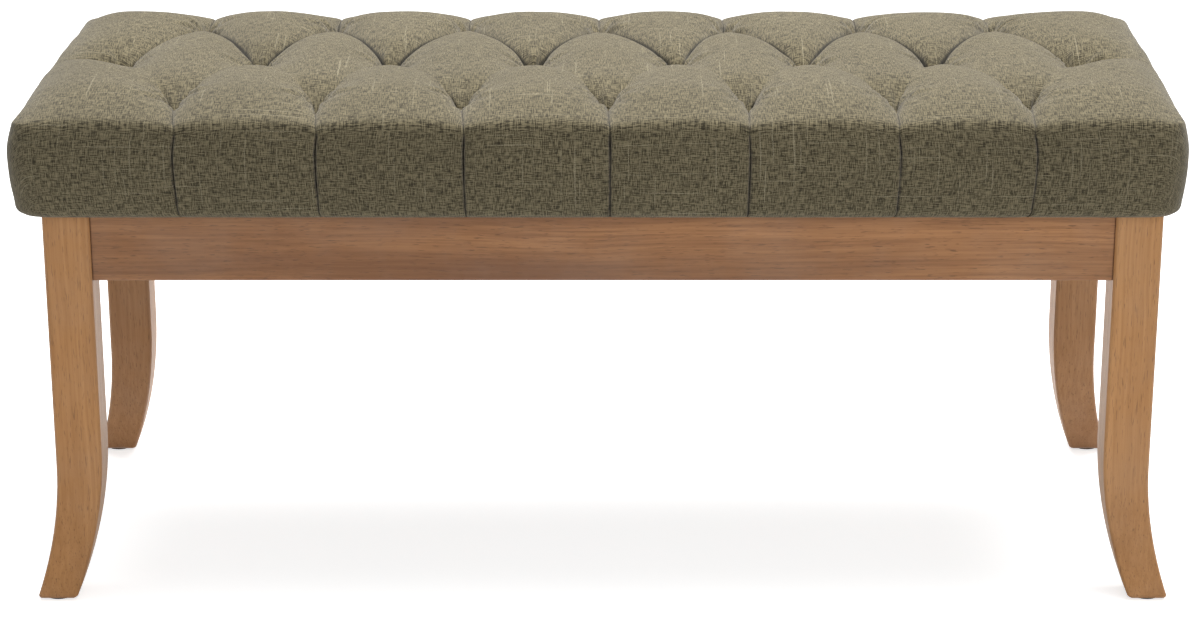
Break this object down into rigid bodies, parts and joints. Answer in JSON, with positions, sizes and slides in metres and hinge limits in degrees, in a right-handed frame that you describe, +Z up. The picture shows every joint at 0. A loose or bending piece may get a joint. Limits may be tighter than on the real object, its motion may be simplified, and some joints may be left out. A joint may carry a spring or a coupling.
{
  "type": "upholstered bench",
  "caption": "Rectangular bench: diamond-tufted box cushion, pleated down its band, over a recessed wooden apron frame on square legs that flare outward at the foot.",
  "frame": {"origin": "on the floor, under the middle of the seat", "axes": "+X along the seat to the right as seen from the front, +Y to the back, +Z up"},
  "size_m": [1.016, 0.406, 0.46],
  "materials": {
    "leg_wood": "satin stained hardwood, mid brown",
    "apron_wood": "satin stained hardwood, a little darker than the legs",
    "inner_wood": "bare sanded softwood",
    "plywood": "bare plywood",
    "steel": "zinc plated",
    "glide_plastic": "matt black",
    "foam": "open-cell upholstery foam",
    "cover_fabric": "plain linen-look weave with slubs, grey olive",
    "twine": "waxed twine",
    "stop_plastic": "natural nylon",
    "dust_cloth": "black spunbond cloth"
  },
  "bodies": {
    "root": {"leg_front_left": "leg_wood", "glide_front_left": "glide_plastic", "corner_block_front_left": "inner_wood", "leg_front_right": "leg_wood", "glide_front_right": "glide_plastic", "corner_block_front_right": "inner_wood", "leg_back_left": "leg_wood", "glide_back_left": "glide_plastic", "corner_block_back_left": "inner_wood", "leg_back_right": "leg_wood", "glide_back_right": "glide_plastic", "corner_block_back_right": "inner_wood", "apron_front": "apron_wood", "apron_back": "apron_wood", "apron_left": "apron_wood", "apron_right": "apron_wood", "centre_brace": "inner_wood", "brace_dowels": "inner_wood", "hanger_bolts": "steel", "bolt_washers": "steel", "bolt_nuts": "steel", "seat_board": "plywood", "foam_core": "foam", "seat_cover": "cover_fabric", "tuft_ties": "twine", "tie_stops": "stop_plastic", "dust_cover": "dust_cloth"}
  },
  "joints": []
}
